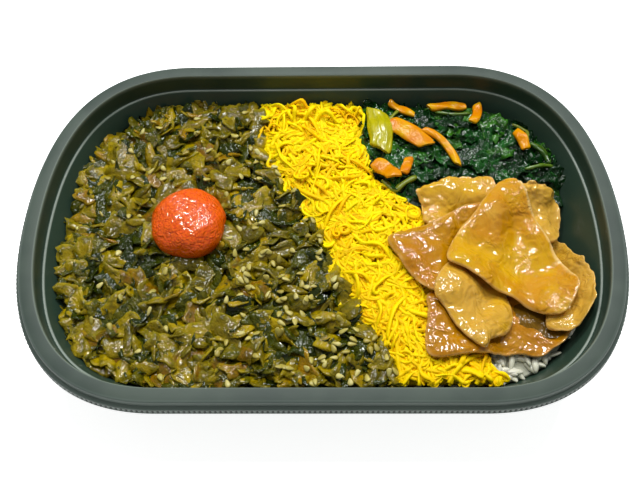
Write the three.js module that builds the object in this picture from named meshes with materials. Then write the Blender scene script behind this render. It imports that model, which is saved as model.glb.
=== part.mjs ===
// A packed lunch: a shallow thermoformed tray filled with a bed of rice, and on it chopped mustard
// greens with a lump of cod roe, a diagonal band of shredded omelette, spinach with carrot strips,
// and glazed slices of pork.
// Millimetres, +Z up. The origin is under the middle of the tray, on the surface that it stands on.
// +X runs along the tray towards the pork, and +Y towards the spinach.
import * as THREE from "three";

// The tray's rim line, seen from above
const halfLength = 101;
const halfWidth = 66.8;
const straightHalf = 49.5; // half of the straight stretch of a long side
const cornerHandle = 29; // how far a corner keeps to the long side
const endHandle = 49.9; // how far a corner keeps to the end
const traySides = 56;

// The tray's heights and its wall. An inset is measured inwards from the rim line.
const trayHeight = 36;
const sheet = 0.8; // thickness of the tray's sheet
const panelRise = 1; // how far the middle of the base stands off the table
const ledgeHeight = 29;
const ledgeInset = 6.3;
const floorHeight = 2.8; // where the wall turns into the floor
const floorInset = 16.3;
const footOuter = 19.6; // the ring that the tray stands on, as insets
const footInner = 28.6;
const rimWidth = 4.9; // the flat rim, from the rim line to the top of the wall
const rimRound = 0.5;
const grooveDepth = 2; // the groove under the rim's outer edge
const skirtOut = 1.8; // how far the ribbed skirt under the groove stands out
const skirtBottom = 5; // below the rim
const wallSlope = (floorInset - ledgeInset) / (ledgeHeight - floorHeight);

// The food
const gap = 0.35; // between neighbouring pieces
const riceTop = 18.4;
const toppingBase = riceTop + gap;
const greensTop = 24.2;
const eggTop = 25.6;
const spinachTop = 27;
const spinachFront = 17; // where the spinach meets the pork
const spinachGap = 1.4; // between the spinach and the egg
const roe = { x: -47.2, y: 1.6, half: 12.4, height: 10.5, seat: 23.3 };
const slice = { thick: 2.1, gap: 0.45, reach: 4.6, blur: 3, ripple: 0.3 };
const carrot = { thick: 1.8, gap: 0.5, reach: 4, blur: 2 };

// Finishes
const finish = (name, color, roughness) =>
  Object.assign(new THREE.MeshStandardMaterial({ color, roughness, metalness: 0 }), { name });
const trayPlastic = finish("tray_plastic", 0x1b2a22, 0.35);
const rice = finish("rice", 0xdcdccb, 0.4);
const greens = finish("greens", 0x5a5a14, 0.3);
const roeRed = finish("roe", 0xe84a10, 0.25);
const omelette = finish("omelette", 0xf5cf12, 0.5);
const spinach = finish("spinach", 0x0f3a16, 0.25);
const carrotOrange = finish("carrot", 0xe08a10, 0.35);
const stalkGreen = finish("stalk", 0xa8a41c, 0.35);
const pork = finish("pork", 0xc08a34, 0.25);

const lerp = THREE.MathUtils.lerp;
const clamp01 = (t) => THREE.MathUtils.clamp(t, 0, 1);
const lumps = (x, y) => Math.sin(x * 0.53 + 1.3) * Math.cos(y * 0.47) + 0.6 * Math.sin(x * 0.91 - y * 0.74);

// The rim line as evenly spaced points, anticlockwise from the middle of the +X end.
function rimLine() {
  const shape = new THREE.Shape();
  const shoulder = straightHalf + cornerHandle;
  shape.moveTo(halfLength, 0);
  shape.bezierCurveTo(halfLength, endHandle, shoulder, halfWidth, straightHalf, halfWidth);
  shape.lineTo(-straightHalf, halfWidth);
  shape.bezierCurveTo(-shoulder, halfWidth, -halfLength, endHandle, -halfLength, 0);
  shape.bezierCurveTo(-halfLength, -endHandle, -shoulder, -halfWidth, -straightHalf, -halfWidth);
  shape.lineTo(straightHalf, -halfWidth);
  shape.bezierCurveTo(shoulder, -halfWidth, halfLength, -endHandle, halfLength, 0);
  return shape.getSpacedPoints(traySides).slice(0, traySides);
}
const rim = rimLine();

// The rim line moved inwards.
const insetLine = (inset) =>
  rim.map((point, i) => {
    const ahead = rim[(i + 1) % traySides];
    const behind = rim[(i + traySides - 1) % traySides];
    const along = ahead.clone().sub(behind).normalize();
    return new THREE.Vector2(point.x - along.y * inset, point.y + along.x * inset);
  });

// A closed solid whose rings follow the rim line. A profile is a list of [inset, height], and an
// inset of null is the middle.
function ringSolid(profile) {
  const points = profile.map(([inset, z]) => new THREE.Vector2(inset === null ? 0 : halfLength - inset, z));
  const geometry = new THREE.LatheGeometry(points, traySides);
  const rings = profile.map(([inset]) => (inset === null ? null : insetLine(inset)));
  const position = geometry.attributes.position;
  for (let i = 0; i <= traySides; i++) {
    rings.forEach((ring, j) => {
      const at = ring ? ring[i % traySides] : new THREE.Vector2();
      position.setXYZ(i * profile.length + j, at.x, at.y, profile[j][1]);
    });
  }
  return geometry;
}

const wallInset = (z) => ledgeInset + (ledgeHeight - z) * wallSlope;

// How far the tray's inside reaches along one axis, at a distance along the other one and at a height.
function wallReach(axis, distance, z) {
  const other = axis === "x" ? "y" : "x";
  const quarter = insetLine(wallInset(z) + gap).slice(0, traySides / 4 + 1);
  if (axis === "y") quarter.reverse();
  const next = quarter.findIndex((p) => p[other] > Math.abs(distance));
  if (next < 1) return next === 0 ? quarter[0][axis] : quarter.at(-1)[axis];
  const [a, b] = [quarter[next - 1], quarter[next]];
  return lerp(a[axis], b[axis], (Math.abs(distance) - a[other]) / (b[other] - a[other]));
}
const wallX = (y, z) => wallReach("x", y, z);
const wallY = (x, z) => wallReach("y", x, z);

function trayGeometry() {
  const wallOut = (z) => wallInset(z) - sheet;
  const underRim = trayHeight - sheet;
  const under = [
    [null, panelRise],
    [footInner + sheet, panelRise],
    [footInner, 0],
    [footOuter, 0],
    [footOuter - 2.6, 0.6],
    [wallOut(floorHeight), floorHeight],
    [wallOut(ledgeHeight), ledgeHeight - sheet],
    [ledgeInset - 2, ledgeHeight],
    [rimWidth - sheet, underRim],
    [sheet, underRim],
  ];
  const skirt = [
    [sheet, trayHeight - skirtBottom + 2.2],
    [sheet - skirtOut, trayHeight - skirtBottom + 1.8],
    [sheet - skirtOut, trayHeight - skirtBottom],
    [-skirtOut, trayHeight - skirtBottom + 0.2],
    [0.2 - skirtOut, trayHeight - grooveDepth - 0.6],
    [-0.3, trayHeight - grooveDepth],
  ];
  const inside = [
    [0, trayHeight - rimRound],
    [rimRound, trayHeight],
    [rimWidth - rimRound, trayHeight],
    [rimWidth, trayHeight - rimRound],
    [ledgeInset - 1.1, ledgeHeight + 0.5],
    [ledgeInset, ledgeHeight],
    [floorInset, floorHeight],
    [footOuter - 1.8, 1.2],
    [footOuter, sheet],
    [footInner, sheet],
    [footInner + 1.4, panelRise + sheet],
    [null, panelRise + sheet],
  ];
  return ringSolid([...under, ...skirt, ...inside]);
}

// Rice fills the tray to one level, with a rounded shoulder along the wall.
function riceGeometry() {
  const floor = sheet + gap;
  const shoulder = (down, inwards) => [wallInset(riceTop - down) + gap + inwards, riceTop - down];
  return ringSolid([
    [null, panelRise + floor],
    [footInner, panelRise + floor],
    [footInner - 1.2, floor],
    [footOuter + 1.5, floor],
    [footOuter - 0.8, floorHeight + gap],
    shoulder(2, 0),
    shoulder(0.6, 0.4),
    shoulder(0, 2.2),
    [null, riceTop],
  ]);
}

// A loose heap between two lines in plan. left and right give X at a place across the tray and a
// height, front and back give Y, and top gives the surface; u and v run from 0 to 1 over the heap.
function heap({ left, right, front, back, top, across, along }) {
  const geometry = new THREE.BoxGeometry(1, 1, 1, across, along, 1);
  const position = geometry.attributes.position;
  for (let i = 0; i < position.count; i++) {
    const u = position.getX(i) + 0.5;
    const v = 0.5 - 0.5 * Math.cos(Math.PI * (position.getY(i) + 0.5));
    const place = (z) => {
      let [x, y] = [0, 0];
      for (let pass = 0; pass < 6; pass++) {
        x = lerp(left(y, z), right(y, z), u);
        y = lerp(front(x, z), back(x, z), v);
      }
      return [x, y];
    };
    if (position.getZ(i) < 0) {
      position.setXYZ(i, ...place(toppingBase), toppingBase);
    } else {
      const [roughX, roughY] = place(greensTop);
      const z = top(roughX, roughY, u, v);
      position.setXYZ(i, ...place(z), z);
    }
  }
  return geometry;
}

// Straight lines between [x, y] points that run from front to back: the X at a given Y.
const seam = (points) => (y) => {
  const next = points.findIndex((p) => p[1] > y);
  if (next < 1) return next === 0 ? points[0][0] : points.at(-1)[0];
  const [a, b] = [points[next - 1], points[next]];
  return lerp(a[0], b[0], (y - a[1]) / (b[1] - a[1]));
};
const eggLeft = seam([[26.5, -57], [20.5, -46], [9, -29], [4, -12], [-6.5, 11], [-20, 31], [-27, 58]]);
const eggRight = seam([[60, -57], [46, -42], [40, -27], [38, 4], [28, 13], [20, 21], [15, 32], [13, 58]]);

// The top of a heap that is full inside and low at its edges. soft is the share of its width that slopes.
const edgeShare = (t, soft) => Math.sqrt(clamp01(Math.min(t, 1 - t) / soft));
const heapTop = (full, edgeDrop, soft) => (x, y, u, v) =>
  full - edgeDrop * (1 - edgeShare(u, soft) * edgeShare(v, soft)) + 0.45 * lumps(x, y);

const plainGreensTop = heapTop(greensTop, 2.2, 0.1);
const plainEggTop = heapTop(eggTop, 3.4, 0.3);
const plainSpinachTop = heapTop(spinachTop, 5, 0.28);

// The greens are pressed flat under the roe.
function greensSurface(x, y, u, v) {
  const away = Math.hypot(x - roe.x, y - roe.y) / roe.half;
  return lerp(roe.seat - gap, plainGreensTop(x, y, u, v), clamp01((away - 1.25) * 2));
}

const greensGeometry = () =>
  heap({
    left: (y, z) => -wallX(y, z),
    right: (y) => eggLeft(y) - gap,
    front: (x, z) => -wallY(0, z),
    back: (x, z) => wallY(0, z),
    top: greensSurface,
    across: 13,
    along: 18,
  });

const eggGeometry = () =>
  heap({
    left: (y) => eggLeft(y),
    right: (y) => eggRight(y),
    front: (x, z) => -wallY(x, z),
    back: (x, z) => wallY(x, z),
    top: plainEggTop,
    across: 8,
    along: 18,
  });

const spinachGeometry = () =>
  heap({
    left: (y) => eggRight(y) + spinachGap,
    right: (y, z) => wallX(y, z),
    front: () => spinachFront,
    back: (x, z) => wallY(0, z),
    top: plainSpinachTop,
    across: 12,
    along: 8,
  });

// A lump of roe, cut flat below: an uneven dome that bulges over its seat.
function roeGeometry() {
  const turns = 28;
  const rings = 9;
  const lowest = -0.55; // the angle below the widest ring at which the lump is cut flat
  const cutLevel = Math.sin(lowest);
  const profile = [new THREE.Vector2(0, 0)];
  for (let k = 0; k <= rings; k++) {
    const angle = lerp(lowest, Math.PI / 2, k / rings);
    const level = (Math.sin(angle) - cutLevel) / (1 - cutLevel);
    profile.push(new THREE.Vector2(k === rings ? 0 : Math.cos(angle) ** 0.8, level));
  }
  const geometry = new THREE.LatheGeometry(profile, turns);
  const position = geometry.attributes.position;
  for (let i = 0; i <= turns; i++) {
    const turn = (2 * Math.PI * (i % turns)) / turns;
    const wide = roe.half * (1 + 0.035 * Math.sin(3 * turn + 0.4) + 0.02 * Math.cos(2 * turn));
    profile.forEach((p, j) => {
      const x = roe.x + p.x * wide * Math.cos(turn);
      const y = roe.y + p.x * wide * Math.sin(turn);
      position.setXYZ(i * profile.length + j, x, y, roe.seat + p.y * roe.height);
    });
  }
  return geometry;
}

// The heights of what already lies in the tray, on a square grid, so that the next piece can be
// laid over it.
const cell = 1.5;
const ground = {
  columns: Math.ceil((2 * halfLength) / cell),
  rows: Math.ceil((2 * halfWidth) / cell),
  heights: [],
  x: (column) => column * cell - halfLength,
  y: (row) => row * cell - halfWidth,
};

function startGround() {
  const share = (value, low, high) => clamp01((value - low) / (high - low));
  for (let row = 0; row < ground.rows; row++) {
    for (let column = 0; column < ground.columns; column++) {
      const [x, y] = [ground.x(column), ground.y(row)];
      let z = riceTop;
      const alongEgg = share(y, -wallY(x, eggTop), wallY(x, eggTop));
      if (x > eggLeft(y) && x < eggRight(y)) {
        z = plainEggTop(x, y, share(x, eggLeft(y), eggRight(y)), alongEgg);
      } else if (x >= eggRight(y) && y > spinachFront) {
        const alongSpinach = share(y, spinachFront, wallY(x, spinachTop));
        z = plainSpinachTop(x, y, share(x, eggRight(y), wallX(y, spinachTop)), alongSpinach);
      }
      ground.heights.push(z);
    }
  }
}

// The highest ground within reach of a place.
function highestGround(x, y, reach) {
  const middleRow = Math.round((y + halfWidth) / cell);
  const middleColumn = Math.round((x + halfLength) / cell);
  const steps = Math.ceil(reach / cell);
  let most = riceTop;
  for (let r = -steps; r <= steps; r++) {
    for (let c = -steps; c <= steps; c++) {
      if (Math.hypot(r, c) * cell > reach) continue;
      const row = THREE.MathUtils.clamp(middleRow + r, 0, ground.rows - 1);
      const column = THREE.MathUtils.clamp(middleColumn + c, 0, ground.columns - 1);
      most = Math.max(most, ground.heights[row * ground.columns + column]);
    }
  }
  return most;
}

// The same, evened out over a short distance, so that a piece bridges what it lies on.
function liftOver(x, y, { reach, blur }) {
  const around = 8;
  let sum = highestGround(x, y, reach);
  for (let k = 0; k < around; k++) {
    const turn = (2 * Math.PI * k) / around;
    sum += highestGround(x + blur * Math.cos(turn), y + blur * Math.sin(turn), reach);
  }
  return sum / (around + 1);
}

// Raises the ground to z wherever inside says that the new piece lies.
function cover(inside, z) {
  const raised = ground.heights.map((height, index) => {
    const x = ground.x(index % ground.columns);
    const y = ground.y(Math.floor(index / ground.columns));
    return inside(x, y) ? Math.max(height, z(x, y)) : height;
  });
  ground.heights = raised;
}

// A slice of meat: a soft outline through a few corners, laid over the ground with gentle ripples
// and a rounded edge.
function sliceGeometry(corners) {
  const turns = 24;
  const rings = 4;
  const loop = corners.map(([x, y]) => new THREE.Vector3(x, y, 0));
  const edge = new THREE.CatmullRomCurve3(loop, true).getSpacedPoints(turns).slice(0, turns);
  if (THREE.ShapeUtils.isClockWise(edge)) edge.reverse();
  edge.forEach((p) => (p.x = Math.min(p.x, wallX(p.y, toppingBase) - slice.gap)));
  const middle = edge.reduce((sum, p) => sum.add(p), new THREE.Vector3()).divideScalar(turns);

  // Across the profile, x runs from the middle to the edge and y from the underside to the top.
  const shares = Array.from({ length: rings }, (_, k) => (k + 1) / rings);
  const profile = [
    new THREE.Vector2(0, 0),
    ...shares.map((share) => new THREE.Vector2(share, 0)),
    new THREE.Vector2(1.03, 0.5),
    ...shares.reverse().map((share) => new THREE.Vector2(share, 1)),
    new THREE.Vector2(0, 1),
  ];
  const ripple = (x, y) => slice.ripple * (1 + Math.sin(x * 0.42 + y * 0.23) * Math.cos(y * 0.36 - x * 0.11));
  const underside = new Map();
  const geometry = new THREE.LatheGeometry(profile, turns);
  const position = geometry.attributes.position;
  const tops = [];
  for (let i = 0; i <= turns; i++) {
    profile.forEach((p, j) => {
      const share = Math.min(p.x, 1);
      const key = `${share} ${share ? i % turns : 0}`;
      const under = middle.clone().lerp(edge[i % turns], share);
      if (!underside.has(key)) {
        underside.set(key, liftOver(under.x, under.y, slice) + slice.gap + ripple(under.x, under.y));
      }
      const at = middle.clone().lerp(edge[i % turns], p.x);
      const z = underside.get(key) + p.y * slice.thick;
      position.setXYZ(i * profile.length + j, at.x, at.y, z);
      if (p.y === 1) tops.push(new THREE.Vector3(at.x, at.y, z));
    });
  }
  const away = (top, x, y) => Math.hypot(top.x - x, top.y - y);
  const nearestTop = (x, y) => tops.reduce((a, b) => (away(b, x, y) < away(a, x, y) ? b : a)).z;
  const covered = edge.map((p) => middle.clone().lerp(p, 1.06));
  cover((x, y) => isInside(x, y, covered), nearestTop);
  return geometry;
}

function isInside(x, y, polygon) {
  let inside = false;
  polygon.forEach((a, i) => {
    const b = polygon[(i + 1) % polygon.length];
    if (a.y > y !== b.y > y && x < a.x + ((y - a.y) / (b.y - a.y)) * (b.x - a.x)) inside = !inside;
  });
  return inside;
}

// A cut strip of vegetable that lies on the ground along a line through a few points, thinner at its ends.
function stripGeometry({ line, wide }) {
  const steps = 8;
  const curve = new THREE.SplineCurve(line.map(([x, y]) => new THREE.Vector2(x, y)));
  const geometry = new THREE.BoxGeometry(1, 1, 1, steps, 2, 1);
  const position = geometry.attributes.position;
  for (let i = 0; i < position.count; i++) {
    const u = position.getX(i) + 0.5;
    const at = curve.getPoint(u);
    const along = curve.getTangent(u);
    const half = wide * (0.62 + 0.38 * Math.sin(Math.PI * u)) * position.getY(i);
    const [x, y] = [at.x - along.y * half, at.y + along.x * half];
    const level = liftOver(at.x, at.y, carrot) + carrot.gap;
    position.setXYZ(i, x, y, level + (position.getZ(i) + 0.5) * carrot.thick);
  }
  const close = (x, y) => curve.getPoints(12).some((p) => Math.hypot(p.x - x, p.y - y) < wide * 0.6);
  cover(close, (x, y) => liftOver(x, y, carrot) + carrot.gap + carrot.thick);
  return geometry;
}

// The strips among the spinach, in the order in which they are laid.
const stalk = { line: [[21.5, 51], [23, 42], [21.8, 33.5]], wide: 8 };
const carrots = [
  { line: [[28, 54.5], [31, 53], [36.5, 49.5]], wide: 3.2 },
  { line: [[42, 54.3], [50, 55.6], [56, 55]], wide: 4 },
  { line: [[60.8, 55], [60, 50], [57.4, 45.5]], wide: 3.6 },
  { line: [[27.4, 46], [33.5, 41.5], [38.5, 36]], wide: 7 },
  { line: [[39.5, 41.6], [46.6, 35.6], [50.2, 27]], wide: 3.6 },
  { line: [[20.6, 27.6], [23.5, 24.5], [26.4, 20.6]], wide: 5 },
  { line: [[32.6, 29], [31.6, 25.5], [30.2, 22]], wide: 3.6 },
  { line: [[73.4, 40.5], [75.3, 37], [76.2, 33]], wide: 4 },
];

// The corners of the slices of pork, from the lowest to the highest.
const slices = [
  [[37, -48.5], [36.5, -36], [52, -28], [72, -27], [86, -27], [84, -37], [72, -45.5], [55, -50.5]],
  [[78, 6], [85.5, -2], [89, -18], [85.5, -33], [76, -41], [71, -34], [77, -20], [75, -4]],
  [[33.5, 14.5], [45, 18.5], [61, 17.5], [62, 5], [52, -6], [37, 1]],
  [[72, 19], [80.5, 15.5], [83.4, 6], [80.5, -3], [72, 0], [68, 10]],
  [[23, -5.5], [40, 3], [58, 12], [64, 2], [56, -12], [46, -28], [37, -26]],
  [[38.5, -16], [54, -16], [63.5, -22], [61, -35], [50, -45.5], [41.5, -36]],
  [[65, 19.5], [73, 16.5], [80, 0], [86, -21], [80, -30], [70, -32], [56, -22], [42, -16], [46, -4], [55, 8]],
];

const lunch = new THREE.Group();
const add = (name, geometry, material) => {
  const mesh = new THREE.Mesh(geometry, material);
  mesh.name = name;
  lunch.add(mesh);
};

add("tray", trayGeometry(), trayPlastic);
add("rice_bed", riceGeometry(), rice);
add("mustard_greens", greensGeometry(), greens);
add("cod_roe", roeGeometry(), roeRed);
add("egg_shreds", eggGeometry(), omelette);
add("spinach_mix", spinachGeometry(), spinach);
startGround();
add("pale_stalk", stripGeometry(stalk), stalkGreen);
carrots.forEach((strip, i) => add(`carrot_strip_${i + 1}`, stripGeometry(strip), carrotOrange));
slices.forEach((corners, i) => add(`pork_slice_${i + 1}`, sliceGeometry(corners), pork));

export default lunch;
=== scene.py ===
import math

import bmesh
import bpy
import numpy as np
from mathutils import Matrix, Vector
from mathutils.geometry import interpolate_bezier


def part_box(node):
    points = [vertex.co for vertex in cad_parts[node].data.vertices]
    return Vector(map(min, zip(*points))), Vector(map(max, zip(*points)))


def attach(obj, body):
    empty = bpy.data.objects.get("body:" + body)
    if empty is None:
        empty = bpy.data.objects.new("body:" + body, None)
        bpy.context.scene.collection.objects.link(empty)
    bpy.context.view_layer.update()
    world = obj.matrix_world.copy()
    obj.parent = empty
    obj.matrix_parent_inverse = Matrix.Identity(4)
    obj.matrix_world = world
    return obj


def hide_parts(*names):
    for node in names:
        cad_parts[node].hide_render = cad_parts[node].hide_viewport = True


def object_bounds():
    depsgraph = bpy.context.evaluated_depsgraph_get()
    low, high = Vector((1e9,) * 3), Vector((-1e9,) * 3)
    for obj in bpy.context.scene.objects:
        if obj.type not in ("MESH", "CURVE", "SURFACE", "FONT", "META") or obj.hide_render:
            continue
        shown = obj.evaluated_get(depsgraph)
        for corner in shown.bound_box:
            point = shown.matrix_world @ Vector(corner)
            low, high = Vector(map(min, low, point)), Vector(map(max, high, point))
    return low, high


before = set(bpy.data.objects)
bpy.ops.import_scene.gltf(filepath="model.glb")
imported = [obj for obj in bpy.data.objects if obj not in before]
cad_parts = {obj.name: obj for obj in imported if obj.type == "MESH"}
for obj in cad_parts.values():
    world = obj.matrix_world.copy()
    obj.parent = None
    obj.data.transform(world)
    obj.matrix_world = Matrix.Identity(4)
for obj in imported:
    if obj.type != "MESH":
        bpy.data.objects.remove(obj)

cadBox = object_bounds()
mm = 0.001               # places are worked out in millimetres and turned to metres as a mesh is made
scene = bpy.context.scene
fullTurn = 2 * math.pi


# Camera, light and floor

cameraView = {
    "aim": (-0.26, -11.4),      # the middle of the view, on the level of the rim
    "distance": 237.4,
    "elevation": 59.75,
    "turn": 1.66,
    "roll": -1.66,
    "lens": 40.1,
}


def makeCamera():
    lens = bpy.data.cameras.new("camera")
    lens.lens = cameraView["lens"]
    lens.sensor_width = 36
    lens.clip_start = 0.01
    turn, roll = math.radians(cameraView["turn"]), math.radians(cameraView["roll"])
    tilt = math.radians(90 - cameraView["elevation"])
    facing = Matrix.Rotation(turn, 4, "Z") @ Matrix.Rotation(tilt, 4, "X")
    aim = Vector((*cameraView["aim"], cadBox[1][2] / mm)) * mm
    place = aim + facing @ Vector((0, 0, cameraView["distance"] * mm))
    camera = bpy.data.objects.new("camera", lens)
    camera.matrix_world = Matrix.Translation(place) @ facing @ Matrix.Rotation(roll, 4, "Z")
    scene.collection.objects.link(camera)
    scene.camera = camera


studio = {
    "worldStrength": 0.27,
    "floorGlow": 0.8,
    "floorSize": 3.0,           # metres
    # name, place, size, power: places and sizes in metres
    "lights": [
        ("lampBack", (0.03, 0.56, 0.75), 0.09, 3.6),
        ("lampLeft", (-0.26, 0.40, 0.80), 0.07, 2.2),
        ("lampRight", (0.42, 0.42, 0.78), 0.07, 2.6),
        ("lampHigh", (-0.06, 0.16, 0.94), 0.07, 2.3),
    ],
}


def makeStudio():
    scene.view_settings.view_transform = "Standard"
    world = bpy.data.worlds.new("studio")
    world.use_nodes = True
    background = world.node_tree.nodes["Background"]
    background.inputs["Color"].default_value = (1, 1, 1, 1)
    background.inputs["Strength"].default_value = studio["worldStrength"]
    scene.world = world
    for name, place, size, power in studio["lights"]:
        light = bpy.data.lights.new(name, "AREA")
        light.size = size
        light.energy = power
        lamp = bpy.data.objects.new(name, light)
        lamp.location = place
        lamp.rotation_euler = (-Vector(place)).to_track_quat("-Z", "Y").to_euler()
        scene.collection.objects.link(lamp)
    bm = bmesh.new()
    bmesh.ops.create_grid(bm, x_segments=1, y_segments=1, size=studio["floorSize"] / 2)
    mesh = meshOf(bm, "floor")
    floor = bpy.data.objects.new("floor", mesh)
    floor.location.z = cadBox[0][2] - 0.0002
    scene.collection.objects.link(floor)
    paper = Paint("pale paper", {"Roughness": 0.9, "Specular IOR Level": 0.1, "Emission Color": (1, 1, 1, 1),
                                 "Emission Strength": studio["floorGlow"]})
    paper.finish(paper.mix(paper.noise(40, detail=3), (250, 250, 250), (255, 255, 255)))
    mesh.materials.append(paper.material)


# Shader values as Python expressions

class Wire:
    def __init__(self, paint, socket):
        self.paint = paint
        self.socket = socket

    def calc(self, operation, first, second):
        return self.paint.add("ShaderNodeMath", {"operation": operation}, [first, second])

    def __add__(self, other):
        return self.calc("ADD", self, other)

    def __sub__(self, other):
        return self.calc("SUBTRACT", self, other)

    def __rsub__(self, other):
        return self.calc("SUBTRACT", other, self)

    def __mul__(self, other):
        return self.calc("MULTIPLY", self, other)

    __radd__ = __add__
    __rmul__ = __mul__


# A material. Colours are given as red, green and blue up to 255.
class Paint:
    def __init__(self, name, shader):
        self.material = bpy.data.materials.new(name)
        self.material.use_nodes = True
        self.tree = self.material.node_tree
        self.shader = self.tree.nodes["Principled BSDF"]
        for socket, value in shader.items():
            self.shader.inputs[socket].default_value = value
        self.place = self.add("ShaderNodeTexCoord", output="Object")

    def add(self, kind, settings=None, inputs=(), output=0):
        node = self.tree.nodes.new(kind)
        for key, value in (settings or {}).items():
            if key == "stops":
                for stop, (at, *color) in zip(rampStops(node, len(value)), value):
                    stop.position, stop.color = at, srgb(*color)
            else:
                setattr(node, key, value)
        for key, value in inputs.items() if isinstance(inputs, dict) else enumerate(inputs):
            if isinstance(value, Wire):
                self.tree.links.new(value.socket, node.inputs[key])
            else:
                node.inputs[key].default_value = value
        return Wire(self, node.outputs[output])

    def noise(self, scale, detail=2.0, roughness=0.5, distortion=0.0):
        return self.add("ShaderNodeTexNoise", None, {"Vector": self.place, "Scale": scale, "Detail": detail,
                                                     "Roughness": roughness, "Distortion": distortion})

    def cellEdges(self, scale):
        return self.add("ShaderNodeTexVoronoi", {"feature": "DISTANCE_TO_EDGE"},
                        {"Vector": self.place, "Scale": scale})

    def attributes(self, *names):
        return [self.add("ShaderNodeAttribute", {"attribute_name": name}, output="Fac") for name in names]

    # from 0 at low to 1 at high
    def ease(self, value, low, high):
        return self.add("ShaderNodeMapRange", {"interpolation_type": "SMOOTHSTEP"}, [value, low, high])

    def most(self, first, second):
        return self.add("ShaderNodeMath", {"operation": "MAXIMUM"}, [first, second])

    def mix(self, amount, *colors):
        first, second = (srgb(*color) if isinstance(color, tuple) else color for color in colors)
        return self.add("ShaderNodeMix", {"data_type": "RGBA"}, {0: amount, 6: first, 7: second}, output=2)

    # stops are a place along the ramp, then red, green and blue
    def ramp(self, value, *stops):
        return self.add("ShaderNodeValToRGB", {"stops": stops}, [value])

    def tonedRamp(self, *stops):
        return self.ramp(*self.attributes("tone"), *stops)

    def bump(self, height, strength, distance, under=None):
        sockets = {"Height": height, "Strength": strength, "Distance": distance * mm}
        if under:
            sockets["Normal"] = under
        return self.add("ShaderNodeBump", None, sockets)

    def finish(self, color, roughness=None, normal=None):
        for socket, value in {"Base Color": color, "Roughness": roughness, "Normal": normal}.items():
            if value:
                self.tree.links.new(value.socket, self.shader.inputs[socket])


def rampStops(node, count):
    stops = node.color_ramp.elements
    while len(stops) < count:
        stops.new(0.5)
    return stops


def srgb(*color):
    channels = [value / 255 for value in color]
    return (*[c / 12.92 if c < 0.04045 else ((c + 0.055) / 1.055) ** 2.4 for c in channels], 1)


# Light that scatters under the surface: how much, how far in each colour, and how deep
def soft(weight, radius, depth):
    return {"Subsurface Weight": weight, "Subsurface Radius": radius, "Subsurface Scale": depth * mm}


# Meshes

def finishPiece(name, mesh, paint, nodes=()):
    mesh.materials.clear()
    mesh.materials.append(paint.material)
    mesh.shade_smooth()
    piece = bpy.data.objects.new(name, mesh)
    scene.collection.objects.link(piece)
    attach(piece, "root")
    if nodes:
        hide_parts(*nodes)
    triangles = sum(len(p.vertices) - 2 for p in mesh.polygons)
    print(f"{name}: {triangles} triangles", flush=True)


def meshOf(bm, name):
    mesh = bpy.data.meshes.new(name)
    bm.to_mesh(mesh)
    bm.free()
    return mesh


def coordinates(mesh):
    flat = np.empty(3 * len(mesh.vertices))
    mesh.vertices.foreach_get("co", flat)
    return flat.reshape(-1, 3)


def reshape(mesh, *points):
    mesh.vertices.foreach_set("co", (np.column_stack(points) * mm).ravel())
    mesh.update()


def note(mesh, **values):
    for name, value in values.items():
        data = np.broadcast_to(value, len(mesh.vertices)).astype(np.float32)
        mesh.attributes.new(name, "FLOAT", "POINT").data.foreach_set("value", data)


def quadsOf(mesh):
    return np.array([tuple(p.vertices) for p in mesh.polygons])


# A thick sheet, as places across it: u and v from -0.5 to 0.5, and 0 or 1 for its two sides
def sheet(columns, rows, name="sheet"):
    bm = bmesh.new()
    bmesh.ops.create_grid(bm, x_segments=columns, y_segments=rows, size=0.5)
    bmesh.ops.solidify(bm, geom=bm.faces[:], thickness=-1)
    bmesh.ops.recalc_face_normals(bm, faces=bm.faces[:])
    mesh = meshOf(bm, name)
    u, v, side = coordinates(mesh).T
    return mesh, u, v, (side > 0.5).astype(float)


# A bar of square section along X, from -0.5 to 0.5 each way
def bar(steps, rounds=0, name="bar"):
    bm = bmesh.new()
    bmesh.ops.create_cube(bm, size=1)
    along = [e for e in bm.edges if abs(e.verts[0].co.x - e.verts[1].co.x) > 0.5]
    bmesh.ops.subdivide_edges(bm, edges=along, cuts=steps - 1, use_grid_fill=True)
    if rounds:
        across = [e for e in bm.edges if abs(e.verts[0].co.x - e.verts[1].co.x) < 0.01]
        bmesh.ops.subdivide_edges(bm, edges=across, cuts=rounds, use_grid_fill=True)
    mesh = meshOf(bm, name)
    return mesh, coordinates(mesh)


# A small round body of 54 faces
def pebble():
    bm = bmesh.new()
    bmesh.ops.create_cube(bm, size=2)
    bmesh.ops.subdivide_edges(bm, edges=bm.edges[:], cuts=2, use_grid_fill=True)
    for vert in bm.verts:
        vert.co.normalize()
    mesh = meshOf(bm, "pebble")
    return mesh, coordinates(mesh)


# A section of (radius, height) spun round Z, with each point's radius, height and number round
def spun(section, steps, name):
    bm = bmesh.new()
    chain = [bm.verts.new((radius, 0, z)) for radius, z in section]
    edges = [bm.edges.new(pair) for pair in zip(chain, chain[1:])]
    bmesh.ops.spin(bm, geom=chain + edges, cent=(0, 0, 0), axis=(0, 0, 1), angle=fullTurn, steps=steps,
                   use_merge=True)
    bmesh.ops.remove_doubles(bm, verts=bm.verts[:], dist=0.001)
    bmesh.ops.recalc_face_normals(bm, faces=bm.faces[:])
    mesh = meshOf(bm, name)
    x, y, z = coordinates(mesh).T
    number = np.rint(np.arctan2(y, x) / fullTurn * steps).astype(int) % steps
    return mesh, np.hypot(x, y), z, number


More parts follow.
